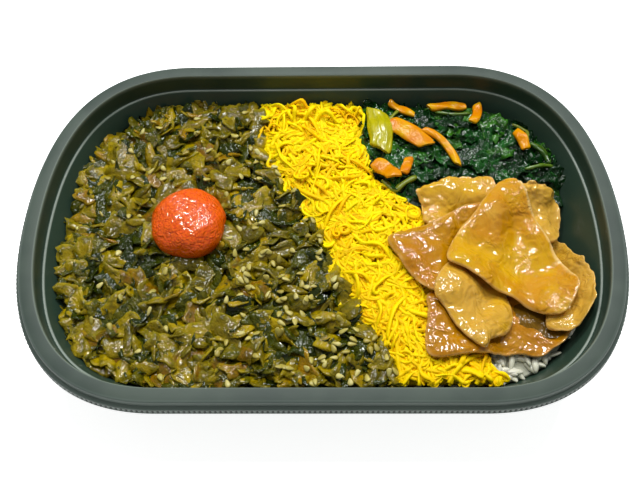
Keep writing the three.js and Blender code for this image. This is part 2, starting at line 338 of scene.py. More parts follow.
# Many copies of small shapes, joined as one piece. Each copy is its points, its faces and its attributes.
def finishCopies(name, copies, paint):
    points = np.concatenate([c[0] for c in copies])
    starts = np.cumsum([0] + [len(c[0]) for c in copies[:-1]])
    quads = np.concatenate([c[1] + start for c, start in zip(copies, starts)])
    mesh = bpy.data.meshes.new(name)
    mesh.vertices.add(len(points))
    mesh.loops.add(quads.size)
    mesh.polygons.add(len(quads))
    mesh.loops.foreach_set("vertex_index", quads.ravel())
    mesh.polygons.foreach_set("loop_start", np.arange(0, quads.size, 4))
    reshape(mesh, points)
    mesh.update(calc_edges=True)
    for key in copies[0][2]:
        note(mesh, **{key: np.concatenate([np.broadcast_to(c[2][key], len(c[0])) for c in copies])})
    finishPiece(name, mesh, paint)


# Evenly spaced points along a line that ends where it starts
def evenPoints(line, count):
    length = np.concatenate([[0], np.cumsum(np.hypot(*np.diff(line, axis=0).T))])
    even = np.linspace(0, length[-1], count, endpoint=False)
    return np.column_stack([np.interp(even, length, line[:, axis]) for axis in (0, 1)])


# The tray's plan and section

trayShape = {
    "straightHalf": 49.5,       # half of the straight stretch of a long side
    "cornerHandle": 29.0,       # how far a corner keeps to the long side
    "endHandle": 49.9,          # and to the end
    "skirtOut": 1.8,            # how far the skirt stands out from the rim line
    "ribs": 372,
    "ribDepth": 0.5,
    "pointsPerRib": 3,
    "ledgeHeight": 29.0,
    "ledgeInset": 6.3,
    "floorHeight": 2.8,
    "floorInset": 16.3,
    "sheet": 0.8,
}
trayLow, trayHigh = (np.array(corner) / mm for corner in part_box("tray"))
rimTop = trayHigh[2]
halfLength, halfWidth = trayHigh[:2] - trayShape["skirtOut"]
ledge, ledgeIn = trayShape["ledgeHeight"], trayShape["ledgeInset"]
floorUp, floorIn = trayShape["floorHeight"], trayShape["floorInset"]
wallSlope = (floorIn - ledgeIn) / (ledge - floorUp)


# The rim line as evenly spaced points with their outward normals, anticlockwise from the +X end
def rimLine(count=480):
    straight = trayShape["straightHalf"]
    knots = [(halfLength, 0), (halfLength, trayShape["endHandle"]),
             (straight + trayShape["cornerHandle"], halfWidth), (straight, halfWidth)]
    quarter = np.array(interpolate_bezier(*[Vector((*k, 0)) for k in knots], 80))[:, :2]
    half = np.concatenate([quarter, quarter[::-1] * (-1, 1)])
    points = evenPoints(np.concatenate([half, half[1:-1] * (-1, -1), quarter[:1]]), count)
    along = np.roll(points, -1, axis=0) - np.roll(points, 1, axis=0)
    along /= np.hypot(*along.T)[:, None]
    return points, np.stack([along[:, 1], -along[:, 0]], axis=1)


# How far inside the rim line the wall's inner face is at a height
def wallInset(z):
    return ledgeIn + (ledge - z) * wallSlope


# A shape turned round the tray: a section of (inset, height), spun, and pulled out to the rim line. The
# places come back with each point's inset and its number round the rim.
def turned(section, steps):
    section = [(0 if inset is None else halfLength - inset, z) for inset, z in section]
    mesh, radius, z, number = spun(section, steps, "turned")
    line, out = rimLine(steps)
    inset = halfLength - radius
    plan = line[number] - out[number] * inset[:, None]
    plan[radius < 0.01] = 0
    return mesh, plan, z, inset, number


def makeTray():
    rim, thick, out = rimTop, trayShape["sheet"], trayShape["skirtOut"]
    wallOut = wallInset(floorUp) - thick
    under = [(None, 1), (45, 1), (29.6, 1), (29.2, 0.8), (28.8, 0.2), (28.4, 0), (19.8, 0), (18.6, 0.15),
             (17.4, 0.6), (wallOut + 0.5, 1.7), (wallOut, floorUp), (ledgeIn + 4.6 - thick, ledge - 12),
             (ledgeIn - thick + 0.4, ledge - 1.2), (ledgeIn - thick - 0.2, ledge - 0.5),
             (ledgeIn - 1.9, ledge), (4.3, rim - 5), (4.1, rim - 1.3), (3.8, rim - thick),
             (1.2, rim - thick), (0.8, rim - 1.2)]
    skirt = [(0.75, rim - 2.6), (0.5, rim - 2.9), (-0.7, rim - 3.1), (-0.95, rim - 3.4), (-1, rim - 4.2),
             (-1, rim - 4.95), (-1.1, rim - 5), (0.05 - out, rim - 5), (-out, rim - 4.9), (-out, rim - 4.6),
             (0.02 - out, rim - 4.1), (0.12 - out, rim - 3.3), (0.2 - out, rim - 2.85),
             (0.45 - out, rim - 2.55), (-1.1, rim - 2.42), (-0.55, rim - 2.36), (-0.32, rim - 2.2),
             (-0.25, rim - 2), (-0.18, rim - 1.6), (-0.05, rim - 0.7)]
    inside = [(0.02, rim - 0.42), (0.14, rim - 0.18), (0.35, rim - 0.04), (0.6, rim), (2.4, rim), (4.1, rim),
              (4.42, rim - 0.05), (4.65, rim - 0.2), (4.78, rim - 0.45), (4.84, rim - 0.9), (5.08, rim - 3.6),
              (5.2, ledge + 0.7), (5.28, ledge + 0.3), (5.42, ledge + 0.08), (5.65, ledge),
              (5.95, ledge - 0.02), (6.15, ledge - 0.12), (6.3, ledge - 0.4),
              *[(wallInset(ledge - drop), ledge - drop) for drop in (1.2, 7, 15)], (floorIn, floorUp),
              (17, 1.6), (17.9, 1.05), (19.5, thick), (28, thick), (29, 1.1), (29.8, 1.8), (45, 1.8),
              (None, 1.8)]
    steps = trayShape["ribs"] * trayShape["pointsPerRib"]
    mesh, plan, z, inset, number = turned(under + skirt + inside, steps)
    # the ribs are pressed into the lower half of the skirt's outside
    low = np.clip((rim - 2.7 - z) / 0.4, 0, 1) * np.clip((z - rim + 4.85) / 0.2, 0, 1) * (inset < 0.3 - out)
    pressed = low * (0.5 + 0.5 * np.cos(fullTurn * number / trayShape["pointsPerRib"]))
    plan -= rimLine(steps)[1][number] * (trayShape["ribDepth"] * pressed)[:, None]
    reshape(mesh, plan, z)
    note(mesh, inset=inset, pressed=pressed)

    paint = Paint("dark tray plastic", {"IOR": 1.49, "Specular IOR Level": 0.3})
    height = paint.add("ShaderNodeSeparateXYZ", None, [paint.place], output="Z")
    across, pressed = paint.attributes("inset", "pressed")
    broad, fine = paint.noise(28, detail=3, roughness=0.6), paint.noise(900)
    # painted sheen: the flat top of the rim and the outside of the skirt are painted a paler grey-green,
    # standing in for the light they reflect; the same mask also makes them a little rougher
    flat = paint.ease(height, (rim - 0.6) * mm, (rim - 0.15) * mm)
    outer = paint.ease(across, 1.0, 0.2) * paint.ease(height, (rim - 5.4) * mm, (rim - 5) * mm)
    satinAndSheen = paint.most(flat, outer * 0.75)
    wall = paint.mix(broad, (36, 56, 45), (50, 70, 58))
    paintedSheen = paint.mix(paint.ease(broad, 0.35, 0.65), (48, 62, 55), (66, 79, 70))
    body = paint.mix(satinAndSheen, wall, paintedSheen)
    # painted highlight: a pale line is painted along the bead round the inside of the rim and the edge of the
    # step, where they catch the light
    edge = paint.ease(across, 4.3, 4.6) * paint.ease(across, 4.95, 4.75)
    step = paint.ease(across, 5.45, 5.7) * paint.ease(across, 6.35, 6.1) * paint.ease(height, 0.028, 0.0285)
    body = paint.mix(paint.most(edge * 0.6, step * (0.25 + broad)), body, (128, 140, 128))
    # painted highlight and shade: the skirt between the ribs is painted paler, and the pressed hollows of the
    # ribs are painted nearly black
    body = paint.mix(paint.ease(pressed, 0.6, 0.2) * outer * 0.35, body, (112, 124, 118))
    body = paint.mix(paint.ease(pressed, 0.3, 0.9) * 0.9, body, (14, 20, 17))
    grain = paint.bump(fine, 0.12, 0.05, paint.bump(broad, 0.25, 0.3))
    paint.finish(body, 0.3 + satinAndSheen * 0.14 + broad * 0.12, grain)
    finishPiece("tray_shell", mesh, paint, ["tray"])


# The ground: the heights of all that lies in the tray so far, on a square grid

class Ground:
    def __init__(self):
        self.step = 0.5
        self.low = trayLow[:2]
        columns, rows = (np.ceil((trayHigh - trayLow)[:2] / self.step)).astype(int) + 1
        self.x, self.y = np.meshgrid(self.low[0] + self.step * np.arange(columns),
                                     self.low[1] + self.step * np.arange(rows))
        # how far inside the rim line each place is
        nearest = np.full(self.x.shape, 1e9)
        line, out = rimLine()
        for x, y in line:
            nearest = np.minimum(nearest, (self.x - x) ** 2 + (self.y - y) ** 2)
        turn = np.arctan2(line[:, 1], line[:, 0])
        order = np.argsort(turn)
        reach = np.interp(np.arctan2(self.y, self.x), turn[order], np.hypot(*line.T)[order], period=fullTurn)
        self.inset = np.sqrt(nearest) * np.sign(reach - np.hypot(self.x, self.y))
        self.z = np.clip(ledge - (self.inset - ledgeIn) / wallSlope, 1.8, rimTop)
        self.tray = self.z.copy()

    def at(self, x, y, field=None):
        field = self.z if field is None else field
        fx = np.clip((x - self.low[0]) / self.step, 0, self.x.shape[1] - 1.001)
        fy = np.clip((y - self.low[1]) / self.step, 0, self.x.shape[0] - 1.001)
        column, row = fx.astype(int), fy.astype(int)
        fx, fy = fx - column, fy - row
        near = field[row, column] * (1 - fx) + field[row, column + 1] * fx
        far = field[row + 1, column] * (1 - fx) + field[row + 1, column + 1] * fx
        return near * (1 - fy) + far * fy

    def insetAt(self, x, y):
        return self.at(x, y, self.inset)

    def cover(self, x, y, z):
        column = np.clip(np.rint((x - self.low[0]) / self.step).astype(int), 1, self.x.shape[1] - 2)
        row = np.clip(np.rint((y - self.low[1]) / self.step).astype(int), 1, self.x.shape[0] - 2)
        for down in (-1, 0, 1):
            for side in (-1, 0, 1):
                np.maximum.at(self.z, (row + down, column + side), z)

    def raiseTo(self, z, where):
        self.z = np.where(where, np.maximum(self.z, z), self.z)

    # the ground as a limp piece lies on it: its highest points within reach, evened out
    def bridged(self, reach, evenness):
        high = self.z.copy()
        reach /= self.step
        steps = range(-math.ceil(reach), math.ceil(reach) + 1)
        for down in steps:
            for side in steps:
                if math.hypot(down, side) <= reach:
                    high = np.maximum(high, np.roll(self.z, (down, side), (0, 1)))
        for turn in range(3):
            high = boxMean(high, max(1, round(evenness / self.step / 2)))
        return high


def boxMean(field, reach):
    for axis in (0, 1):
        total = sum(np.roll(field, shift, axis) for shift in range(-reach, reach + 1))
        field = total / (2 * reach + 1)
    return field


# Smooth random heights on the ground's grid, from -1 to 1
def waves(size, seed):
    rng = np.random.default_rng(seed)
    field = boxMean(rng.standard_normal(ground.x.shape), max(1, int(size / ground.step / 2)))
    field = boxMean(field, max(1, int(size / ground.step / 3)))
    return field / np.abs(field).max()


# Points that would reach into the tray's wall or floor are lifted onto it
def offTray(points):
    points[:, 2] = np.maximum(points[:, 2], ground.at(points[:, 0], points[:, 1], ground.tray) + 0.2)
    return points


# Lays a stiff small piece down on the ground at x, y, tilted as the ground is. sink is the share of it that
# settles among what it lies on, and top is how high the heap is there.
def layDown(points, x, y, yaw, tilt, top, sink):
    reach, follow = 1.5, 0.8
    slopes = (ground.at(x + reach, y) - ground.at(x - reach, y),
              ground.at(x, y + reach) - ground.at(x, y - reach))
    slopeX, slopeY = (float(np.clip(slope / (2 * reach) * follow, -0.7, 0.7)) for slope in slopes)
    turn = Matrix.Rotation(yaw, 3, "Z") @ Matrix.Rotation(tilt[0], 3, "Y") @ Matrix.Rotation(tilt[1], 3, "X")
    placed = points @ np.array(turn).T
    placed[:, 2] += placed[:, 0] * slopeX + placed[:, 1] * slopeY
    placed[:, :2] += (x, y)
    # a piece that would reach into the wall is moved inwards
    push = max(0.0, float(wallGap - fromWall(*placed[:, :2].T, ground.at(x, y) + 1.5).min()))
    if push:
        inward = np.array([ground.insetAt(x + 1, y) - ground.insetAt(x - 1, y),
                           ground.insetAt(x, y + 1) - ground.insetAt(x, y - 1)])
        placed[:, :2] += inward / max(np.hypot(*inward), 0.1) * push
    placed[:, 2] += np.quantile(ground.at(*placed[:, :2].T) - placed[:, 2], 1 - sink)
    placed[:, 2] -= max(0.0, np.quantile(placed[:, 2], 0.9) - top)
    placed = offTray(placed)
    ground.cover(*placed.T)
    return placed


# Small round pieces laid on the ground: narrow gives their width along their length, and their ends bend down
def strewn(places, rng, size, narrow, bend, turn, tilt, top, sink):
    shape, unit = pebble()
    quads = quadsOf(shape)
    along = unit[:, 0]
    copies = []
    for x, y in places:
        points = unit * (np.array(size) * rng.uniform(0.85, 1.1, 3) / 2)
        points[:, 1] *= narrow(along)
        points[:, 2] -= bend * along ** 2
        placed = layDown(points, x, y, rng.uniform(0, turn), rng.normal(0, tilt), top, sink)
        copies.append((placed, quads, {"tone": rng.uniform(0, 1)}))
    return copies


# The lines between the foods, as (x, y) from front to back
riceTop = 18.4
roeLow, roeHigh = (np.array(corner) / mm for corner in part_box("cod_roe"))
roeMiddle = (roeLow + roeHigh) / 2
greensToEgg = [(26.5, -57), (20.5, -46), (9, -29), (4, -12), (-6.5, 11), (-20, 31), (-27, 58)]
eggToRight = [(60, -57), (46, -42), (40, -27), (38, 4), (28, 13), (20, 21), (15, 32), (13, 58)]
heapFoot = 17.5          # the heaps meet the wall at this height
wallGap = 0.3            # and stop this far short of it
reachY = halfWidth - wallInset(heapFoot) - wallGap


def seam(line, y):
    xs, ys = zip(*line)
    return np.interp(y, ys, xs)


def fromRoe(x, y):
    return np.hypot(x - roeMiddle[0], y - roeMiddle[1])


# How far inside the wall a place is at height z
def fromWall(x, y, z):
    return ground.insetAt(x, y) - wallInset(z)


def inTray(x, y, z):
    return fromWall(x, y, z) > 0


def inGreens(x, y, z):
    return (x < seam(greensToEgg, y)) & inTray(x, y, z)


def inEgg(x, y, z):
    return (x > seam(greensToEgg, y)) & (x < seam(eggToRight, y)) & inTray(x, y, z)


# How far the heaps reach to the sides
def reachX(y):
    line, out = rimLine()
    upper = len(line) // 2
    half = line[:upper] - out[:upper] * wallInset(heapFoot)
    half = half[half[:, 0] >= 0]
    order = np.argsort(half[:, 1])
    return np.interp(np.abs(y), half[order, 1], half[order, 0]) - wallGap


def spots(count, inside, rng, box=((-96, -60), (96, 60))):
    places = rng.uniform(*box, (count * 4, 2))
    return places[inside(*places.T)][:count]


# Of the next few places, the one where the ground lies lowest under what it may rise to
def lowestOf(places, number, few, rise):
    start = number * few % (len(places) - few)
    x, y = places[start:start + few].T
    best = np.argmin(ground.at(x, y) - rise(x, y))
    return x[best], y[best]


# The core of a heap, between two lines and up to its top. The ground rises with it.
def heapCore(name, left, right, front, top, grid, inside, tone):
    mesh, u, v, side = sheet(*grid, name)
    y = front + (reachY - front) * (v + 0.5)
    x = left(y) + (right(y) - left(y)) * (u + 0.5)
    reshape(mesh, x, y, np.where(side > 0.5, top(x, y), riceTop - 0.9))
    note(mesh, tone=tone)
    ground.raiseTo(top(ground.x, ground.y), inside(ground.x, ground.y, heapFoot))
    return mesh


# Rice: a rough core up to just under the surface, with loose grains over it wherever it may show

rice = {"grain": (6.6, 2.5, 2.0), "grains": 900, "coreTop": 17.0, "dip": 6.0}


def makeRice():
    top = rice["coreTop"]
    foot = trayShape["sheet"] + 0.35
    section = [(None, 2.15), (29, 2.15), (27.8, foot), (21, foot), (18.8, 3.15), (wallInset(10) + 0.3, 10),
               (wallInset(top - 1) + 0.3, top - 1), (wallInset(top) + 1.2, top),
               *[(inset, top) for inset in (24, 34, 44, 54, None)]]
    steps = 160
    mesh, plan, z, inset, number = turned(section, steps)
    # beside the pork the bed is lower, so that the wall stays bare
    dipAt = lambda x, y: rice["dip"] * np.clip((x - 72) / 12, 0, 1) * np.clip((y + 38) / 8, 0, 1)
    z = np.where(z > 9.5, z - dipAt(*plan.T) * np.clip((z - 9.5) / 6, 0, 1), z)
    deeper = np.where(z > 3.2, np.maximum(0, wallInset(z) + 0.3 - inset), 0)
    plan -= rimLine(steps)[1][number] * deeper[:, None]
    reshape(mesh, plan, z)
    note(mesh, tone=0.3)
    ground.raiseTo(top - dipAt(ground.x, ground.y), ground.inset > wallInset(top) + 0.3)

    paint = Paint("steamed rice", {**soft(0.35, (1, 1, 0.8), 1.5), "IOR": 1.4, "Coat Weight": 0.25,
                                   "Coat Roughness": 0.15})
    tone, = paint.attributes("tone")
    cloud = paint.noise(260)
    body = paint.mix(tone * 0.6 + cloud * 0.4, (182, 184, 164), (222, 220, 200))
    paint.finish(body, 0.25 + cloud * 0.2, paint.bump(paint.noise(900), 0.2, 0.15))
    rng = np.random.default_rng(11)
    nearWall = lambda x, y: ((fromWall(x, y, riceTop) > -0.4) & (dipAt(x, y) < 1)
                             & ((fromWall(x, y, riceTop) < 9) | (x > 30)))
    # a grain narrows a little towards its ends, and they bend down
    narrow = lambda along: 1 - 0.25 * np.abs(along) + 0.08 * along
    grains = strewn(spots(rice["grains"], nearWall, rng), rng, rice["grain"], narrow, bend=0.25,
                    turn=math.pi, tilt=(0.25, 0.3), top=riceTop + 0.9, sink=0.3)
    finishPiece("rice_core", mesh, paint, ["rice_bed"])
    finishCopies("rice_grains", grains, paint)


# Mustard greens: cut stems, curled and ridged, among limp dark scraps of leaf

greens = {
    "coreTop": 19.6,
    "top": 24.4,
    "stems": 300,
    "leaves": 330,
    "slivers": 130,
    "chunks": 105,              # larger cuts, laid last
    "tries": 9,                 # places tried for each cut
    "unevenness": 1.2,
    # lengths and widths
    "stem": ((7, 17), (4.5, 9.5)),
    "sliver": ((5, 12), (1.2, 2.4)),
    "chunk": ((9, 18), (7, 12)),
    "leaf": (6, 13),
    "seed": (3.1, 1.9, 1.0),
    "seeds": 150,
    "seedTop": 27,
}


# A cut length of stem: a curved strip that is thick in the middle, with slanted ragged ends
def stemPoints(u, v, side, rng, length, wide):
    arch = rng.uniform(0.3, 2.1) * min(1, 6 / wide)
    radius = wide / arch
    u, v = u * np.sqrt(1 - 1.3 * v ** 2), v * np.sqrt(1 - 1.1 * u ** 2)
    a, b, c, d = rng.uniform(0, fullTurn, 4)
    spread = 1 - rng.uniform(0, 0.6) * (u + 0.5) + 0.22 * np.sin(6 * u + a)
    spread += 0.1 * np.sin(13 * u + b) * np.sign(v)
    thick = rng.uniform(1.0, 2.0) * (1 - 2.2 * v ** 2) * (1 - 1.4 * u ** 2)
    turn = v * arch * spread
    reach = radius + (side - 0.5) * thick
    x = length * (u + rng.normal(0, 0.2) * v) * (1 + 0.12 * np.sin(7 * v + c))
    x += 0.03 * length * np.sin(11 * v + d)
    y = reach * np.sin(turn) + rng.normal(0, 0.9) * (2 * u) ** 2
    z = reach * np.cos(turn) - radius
    if rng.random() < 0.35:
        z = -z
    z += rng.uniform(-1.8, 0.7) * (2 * u) ** 2 + 0.25 * np.sin(8 * u + 6 * v + b)
    twist = rng.normal(0, 0.55) * u
    return np.column_stack([x, y * np.cos(twist) - z * np.sin(twist), y * np.sin(twist) + z * np.cos(twist)])


# A limp scrap of leaf, creased and rolled at its edges
def leafPoints(u, v, side, rng, length, wide):
    a, b, c, d = rng.uniform(0, fullTurn, 4)
    x = length * u * (1 + 0.3 * np.sin(6 * v + a))
    y = wide * v * (1 + 0.3 * np.sin(6 * u + b))
    z = 0.8 * np.abs(np.sin(8 * u + 4 * v + c)) + 0.6 * np.abs(np.sin(10 * v - 5 * u + d))
    z += rng.uniform(-1.2, 1.4) * (2 * v) ** 2 + rng.uniform(-1.2, 1.0) * (2 * u) ** 2 + (side - 0.5) * 0.4
    return np.column_stack([x, y, z])


def makeGreens():
    rng = np.random.default_rng(23)
    lumpy, rise = waves(9, 3), waves(14, 5)
    topOf = lambda x, y: greens["coreTop"] + 0.5 * ground.at(x, y, lumpy)
    core = heapCore("greens_core", lambda y: -reachX(y), lambda y: seam(greensToEgg, y) + 1.0, -reachY, topOf,
                    (90, 70), inGreens, tone=0.1)
    note(core, rim=0)
    stemSheet, *stemPlan = sheet(8, 6)
    leafSheet, *leafPlan = sheet(8, 8)
    stemQuads, leafQuads = quadsOf(stemSheet), quadsOf(leafSheet)
    stemRim, leafRim = (2 * np.maximum(abs(u), abs(v)) for u, v, side in (stemPlan, leafPlan))
    stems, leaves = [], []
    plan = ["stem"] * greens["stems"] + ["leaf"] * greens["leaves"] + ["sliver"] * greens["slivers"]
    rng.shuffle(plan)
    plan += ["chunk"] * greens["chunks"]
    few, uneven = greens["tries"], greens["unevenness"]
    topAt = lambda x, y: (greens["top"] - 1.6 + uneven * ground.at(x, y, rise)
                          + 1.6 * np.clip(fromWall(x, y, 24) / 12, 0, 1))
    # hardly any lie under the roe
    riseAt = lambda x, y: uneven * ground.at(x, y, rise) - 8 * (fromRoe(x, y) < 8.5)
    places = spots(len(plan) * few, lambda x, y: inGreens(x, y, 23), rng)
    for number, kind in enumerate(plan):
        x, y = lowestOf(places, number, few, riseAt)
        # the middle of the tray has darker cuts and more leaf
        dark = 0.25 + 0.75 * math.exp(-((x + 2) / 26) ** 2 - ((y - 6) / 40) ** 2)
        yaw = rng.uniform(0, fullTurn)
        if kind == "leaf" or (kind == "stem" and rng.random() < 0.4 * dark):
            points = leafPoints(*leafPlan, rng, *rng.uniform(*greens["leaf"], 2))
            placed = layDown(points, x, y, yaw, rng.normal(0, 0.25, 2), topAt(x, y), sink=0.4)
            leaves.append((placed, leafQuads, {"tone": rng.uniform(0, 1), "rim": leafRim}))
            continue
        size = [rng.uniform(*span) for span in greens["stem"]]
        if kind != "stem":
            size = [rng.uniform(*span) for span in greens[kind]]
        shrink = 0.75 if dark > 0.6 else 1
        points = stemPoints(*stemPlan, rng, *(shrink * span for span in size))
        placed = layDown(points, x, y, yaw, rng.normal(0, (0.16, 0.22)), topAt(x, y) + 0.5, sink=0.3)
        tone = np.clip(rng.beta(2, 2) - 0.35 * (dark - 0.5) + 0.15 * (kind == "chunk"), 0, 1)
        stems.append((placed, stemQuads, {"tone": tone, "rim": stemRim}))

    stem = Paint("pickled stem", {**soft(0.3, (1, 0.9, 0.15), 2), "IOR": 1.42, "Specular IOR Level": 0.5})
    tone, rim = stem.attributes("tone", "rim")
    cloud, specks = stem.noise(300, detail=4, roughness=0.6), stem.noise(620, detail=3)
    hue = stem.ramp(tone, (0.0, 60, 56, 0), (0.3, 102, 88, 0), (0.6, 138, 118, 0), (0.8, 162, 138, 0),
                    (0.9, 146, 108, 0), (1.0, 122, 86, 0))
    body = stem.mix(stem.ease(cloud, 0.4, 0.65) * 0.7, hue, (70, 66, 0))
    body = stem.mix(stem.ease(specks, 0.52, 0.68) * 0.35, body, (150, 132, 14))
    # painted highlight: the edges of each cut are painted paler, where they catch the light
    body = stem.mix(stem.ease(rim, 0.75, 1.0) * 0.3, body, (160, 148, 40))
    wet = stem.bump(stem.noise(440, detail=1, distortion=1.5), 1.0, 0.4,
                    stem.bump(stem.noise(300, detail=1), 1.0, 0.9))
    stem.finish(body, 0.07 + cloud * 0.12, wet)

    leaf = Paint("pickled leaf", {"IOR": 1.42, "Specular IOR Level": 0.5})
    cloud = leaf.noise(420, detail=4, roughness=0.65)
    hue = leaf.tonedRamp((0.0, 28, 38, 0), (0.4, 50, 58, 0), (0.75, 84, 82, 0), (1.0, 108, 98, 12))
    body = leaf.mix(leaf.ease(cloud, 0.4, 0.6) * 0.6, hue, (34, 44, 0))
    wet = leaf.bump(leaf.noise(440, detail=1, distortion=1.6), 1.0, 0.5,
                    leaf.bump(leaf.cellEdges(420), 1.0, 0.5))
    leaf.finish(body, 0.06 + cloud * 0.1, wet)

    finishPiece("greens_core", core, leaf, ["mustard_greens"])
    finishCopies("greens_stems", stems, stem)
    finishCopies("greens_leaves", leaves, leaf)


def makeSesame():
    rng = np.random.default_rng(31)
    # most of the seeds lie on the half towards the egg
    wanted = lambda x, y: inGreens(x, y, 22) & (fromRoe(x, y) > 15)
    places = spots(greens["seeds"] * 5, wanted, rng)
    chance = 0.14 + 0.86 * np.clip((places[:, 0] + 42) / 34, 0, 1)
    places = places[rng.random(len(places)) < chance][:greens["seeds"]]
    narrow = lambda along: np.clip(1.02 - 0.42 * (along + 0.3), 0.35, 1.15)     # pointed at one end
    seeds = strewn(places, rng, greens["seed"], narrow, bend=0, turn=fullTurn, tilt=(0.22, 0.25),
                   top=greens["seedTop"], sink=0.4)
    paint = Paint("sesame husk", soft(0.2, (1, 0.8, 0.5), 1))
    fine = paint.noise(1400)
    hue = paint.tonedRamp((0.0, 156, 144, 54), (0.5, 184, 174, 84), (1.0, 206, 198, 124))
    paint.finish(paint.mix(fine * 0.5, hue, (158, 140, 66)), 0.3 + fine * 0.2, paint.bump(fine, 0.25, 0.12))
    finishCopies("sesame_seeds", seeds, paint)


# Cod roe: an uneven lump whose skin is packed with tiny eggs

roe = {"eggs": 1700, "relief": 0.06}


def makeRoe():
    bm = bmesh.new()
    bmesh.ops.create_icosphere(bm, subdivisions=7, radius=1)
    mesh = meshOf(bm, "roe")
    unit = coordinates(mesh)
    x, y, z = unit.T
    turn, away = np.arctan2(y, x), np.hypot(x, y)
    wide = 1 + 0.015 * np.sin(3 * turn - 0.9) + 0.015 * np.sin(5 * turn + 1)
    wide += 0.05 * np.exp(-((turn + 0.55) / 0.35) ** 2)
    full = away ** 0.82 / np.maximum(away, 1e-6) * wide
    low = -0.42                     # below this it settles flat on what it lies on
    level = np.where(z < low, low - 0.15 * (low - z), np.sign(z) * np.abs(z) ** 1.1)
    halfX, halfY, high = (roeHigh - roeLow) * (0.5, 0.5, 1)
    points = np.column_stack([x * full * halfX * 1.05, y * full * halfY * 1.12,
                              (level + 0.5) / 1.5 * (high + 1.2)])
    # tiny eggs: the nearest of many evenly strewn middles gives each point its place on an egg
    count = roe["eggs"]
    order = np.arange(count) + 0.5
    up = 1 - 2 * order / count
    around = math.pi * (1 + 5 ** 0.5) * order
    rng = np.random.default_rng(41)
    eggs = np.column_stack([np.cos(around) * np.sqrt(1 - up ** 2), np.sin(around) * np.sqrt(1 - up ** 2), up])
    eggs += rng.normal(0, 0.012, eggs.shape)
    eggs /= np.linalg.norm(eggs, axis=1)[:, None]
    near = np.concatenate([(some @ eggs.T).max(axis=1) for some in np.array_split(unit, 12)])
    away = np.arccos(np.clip(near, -1, 1)) / math.sqrt(4 * math.pi / count) / 0.6
    bead = np.sqrt(np.clip(1 - away ** 2, 0, 1))
    folds = 0.35 * np.sin(3.1 * x + 2.2 * z + 1) * np.cos(2.7 * y - 1.9 * z)
    folds += 0.22 * np.sin(6.3 * x - 4.1 * y + 2) * np.sin(5.2 * y + 3 * z)
    points += unit * (roe["relief"] * bead + folds)[:, None]
    points += (roeMiddle[0], roeMiddle[1], roeLow[2] - 0.4)
    reshape(mesh, points)
    note(mesh, bead=bead)
    paint = Paint("cod roe", {**soft(0.2, (1, 0.3, 0.06), 1.5), "IOR": 1.4, "Specular IOR Level": 1.0})
    bead, = paint.attributes("bead")
    cloud, film = paint.noise(240, detail=3), paint.noise(400, detail=1, distortion=1.5)
    # painted shade: each tiny egg is painted darker red towards its edge, standing in for the shade in the
    # creases between the eggs
    hue = paint.mix(paint.ease(bead, 0.1, 0.95), (208, 66, 0), (238, 100, 0))
    paint.finish(paint.mix(cloud * 0.4, hue, (228, 80, 0)), 0.03 + cloud * 0.04, paint.bump(film, 1.0, 0.65))
    finishPiece("roe_lump", mesh, paint, ["cod_roe"])
    ground.cover(*points.T)


# Shredded omelette: many thin soft strands, strewn and tangled in a band

egg = {
    "strands": 1550,
    "steps": 14,
    "wide": (0.85, 1.45),
    "thick": (0.45, 0.75),
    "length": (7, 22),
    "coreTop": 22.6,
    "top": 24.8,
}


# The middle line of a strand: it wanders, keeps to its band and lies on what is under it, below top
def strandLine(rng, start, heading, length, curl, inside, top, lift):
    step = length / egg["steps"]
    x, y = start
    bend = rng.normal(0, curl)
    turnBack = rng.choice([-0.9, 0.9])
    line = []
    for _ in range(egg["steps"] + 1):
        line.append((x, y))
        bend = 0.8 * bend + rng.normal(0, curl) * 0.6
        heading += bend * step
        for _ in range(7):
            ahead = x + math.cos(heading) * step, y + math.sin(heading) * step
            if inside(*ahead):
                x, y = ahead
                break
            heading += turnBack
    line = np.array(line)
    for _ in range(2):
        line[1:-1] = (line[:-2] + 2 * line[1:-1] + line[2:]) / 4
    z = ground.at(*line.T)
    high = np.minimum(np.maximum(np.maximum(z, np.roll(z, 1)), np.roll(z, -1)), top(*line.T))
    for _ in range(3):
        high[1:-1] = (high[:-2] + 2 * high[1:-1] + high[2:]) / 4
    return np.column_stack([line, high + lift * np.sin(np.linspace(0, math.pi, len(line))) ** 2])


# A flat strip along a line, by moving the rings of a bar
def stripAlong(line, unit, wide, thick, roll):
    unitOf = lambda vectors: vectors / np.maximum(np.linalg.norm(vectors, axis=1), 1e-6)[:, None]
    steps = len(line) - 1
    ring = np.clip(np.rint((unit[:, 0] + 0.5) * steps).astype(int), 0, steps)
    along = unitOf(np.gradient(line, axis=0))
    flat = unitOf(np.column_stack([-along[:, 1], along[:, 0], np.zeros(len(line))]))
    share = np.linspace(0, 1, len(line))
    turn = roll[0] + roll[1] * share
    side = flat * np.cos(turn)[:, None] + np.cross(along, flat) * np.sin(turn)[:, None]
    size = 1 - 0.25 * np.abs(2 * share - 1) ** 4 + 0.14 * np.sin(share * 17 + 9 * roll[0])
    return offTray(line[ring] + side[ring] * (unit[:, 1] * wide * size[ring])[:, None]
                   + np.cross(along, side)[ring] * (unit[:, 2] * thick * size[ring])[:, None])


